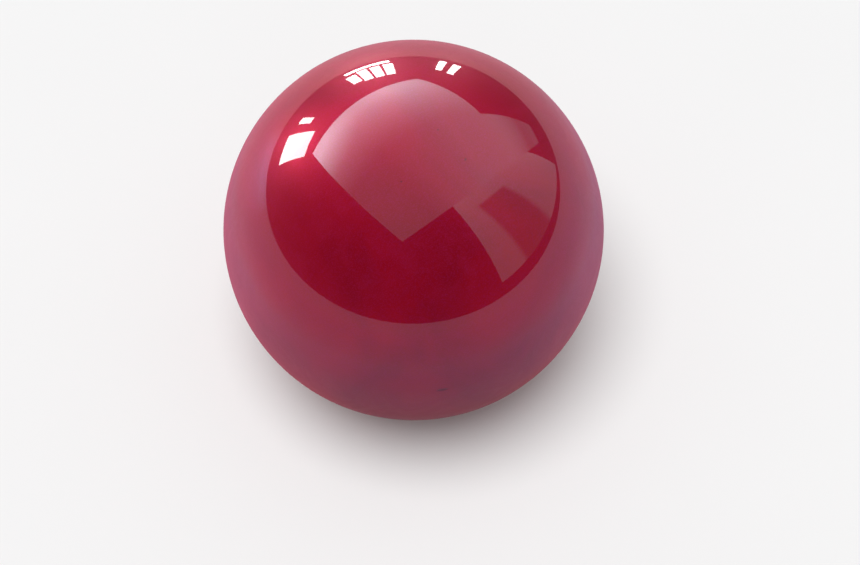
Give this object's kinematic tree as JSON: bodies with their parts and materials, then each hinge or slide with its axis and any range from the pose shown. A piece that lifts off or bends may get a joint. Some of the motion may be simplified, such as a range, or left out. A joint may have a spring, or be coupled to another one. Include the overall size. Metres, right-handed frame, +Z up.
{
  "type": "bowling ball",
  "caption": "Glossy crimson pearl ten-pin bowling ball, drilled for a fingertip grip, with a removable quarter-turn thumb.",
  "frame": {"origin": "the ball's centre", "axes": "+Z up; +Y out of the thumb hole; the finger holes lie round towards -X and a little below the thumb's level"},
  "size_m": [0.2172, 0.216, 0.2172],
  "materials": {
    "pearl_coverstock": "polished",
    "outer_core_resin": "matte",
    "weight_block_resin": "satin",
    "dense_resin": "satin",
    "pin_resin": "gloss",
    "insert_vinyl": "satin",
    "sleeve_plastic": "gloss",
    "slug_urethane": "satin",
    "lock_base_plastic": "satin",
    "o_ring_rubber": "satin"
  },
  "bodies": {
    "ball": {"coverstock": "pearl_coverstock", "outer_core": "outer_core_resin", "weight_block": "weight_block_resin", "flip_block": "dense_resin", "locator_pin": "pin_resin", "finger_insert_middle": "insert_vinyl", "finger_insert_ring": "insert_vinyl", "thumb_sleeve": "sleeve_plastic"},
    "thumb_slide": {"thumb_o_ring": "o_ring_rubber"},
    "thumb": {"thumb_slug": "slug_urethane", "thumb_lock_base": "lock_base_plastic"}
  },
  "joints": [
    {"name": "thumb_pull", "type": "slide", "parent": "ball", "child": "thumb_slide", "axis": [0, 1, 0], "range_m": [0, 0.09]},
    {"name": "thumb_turn", "type": "hinge", "parent": "thumb_slide", "child": "thumb", "pos_m": [0, 0, 0], "axis": [0, 1, 0], "range_deg": [0, 90]}
  ]
}
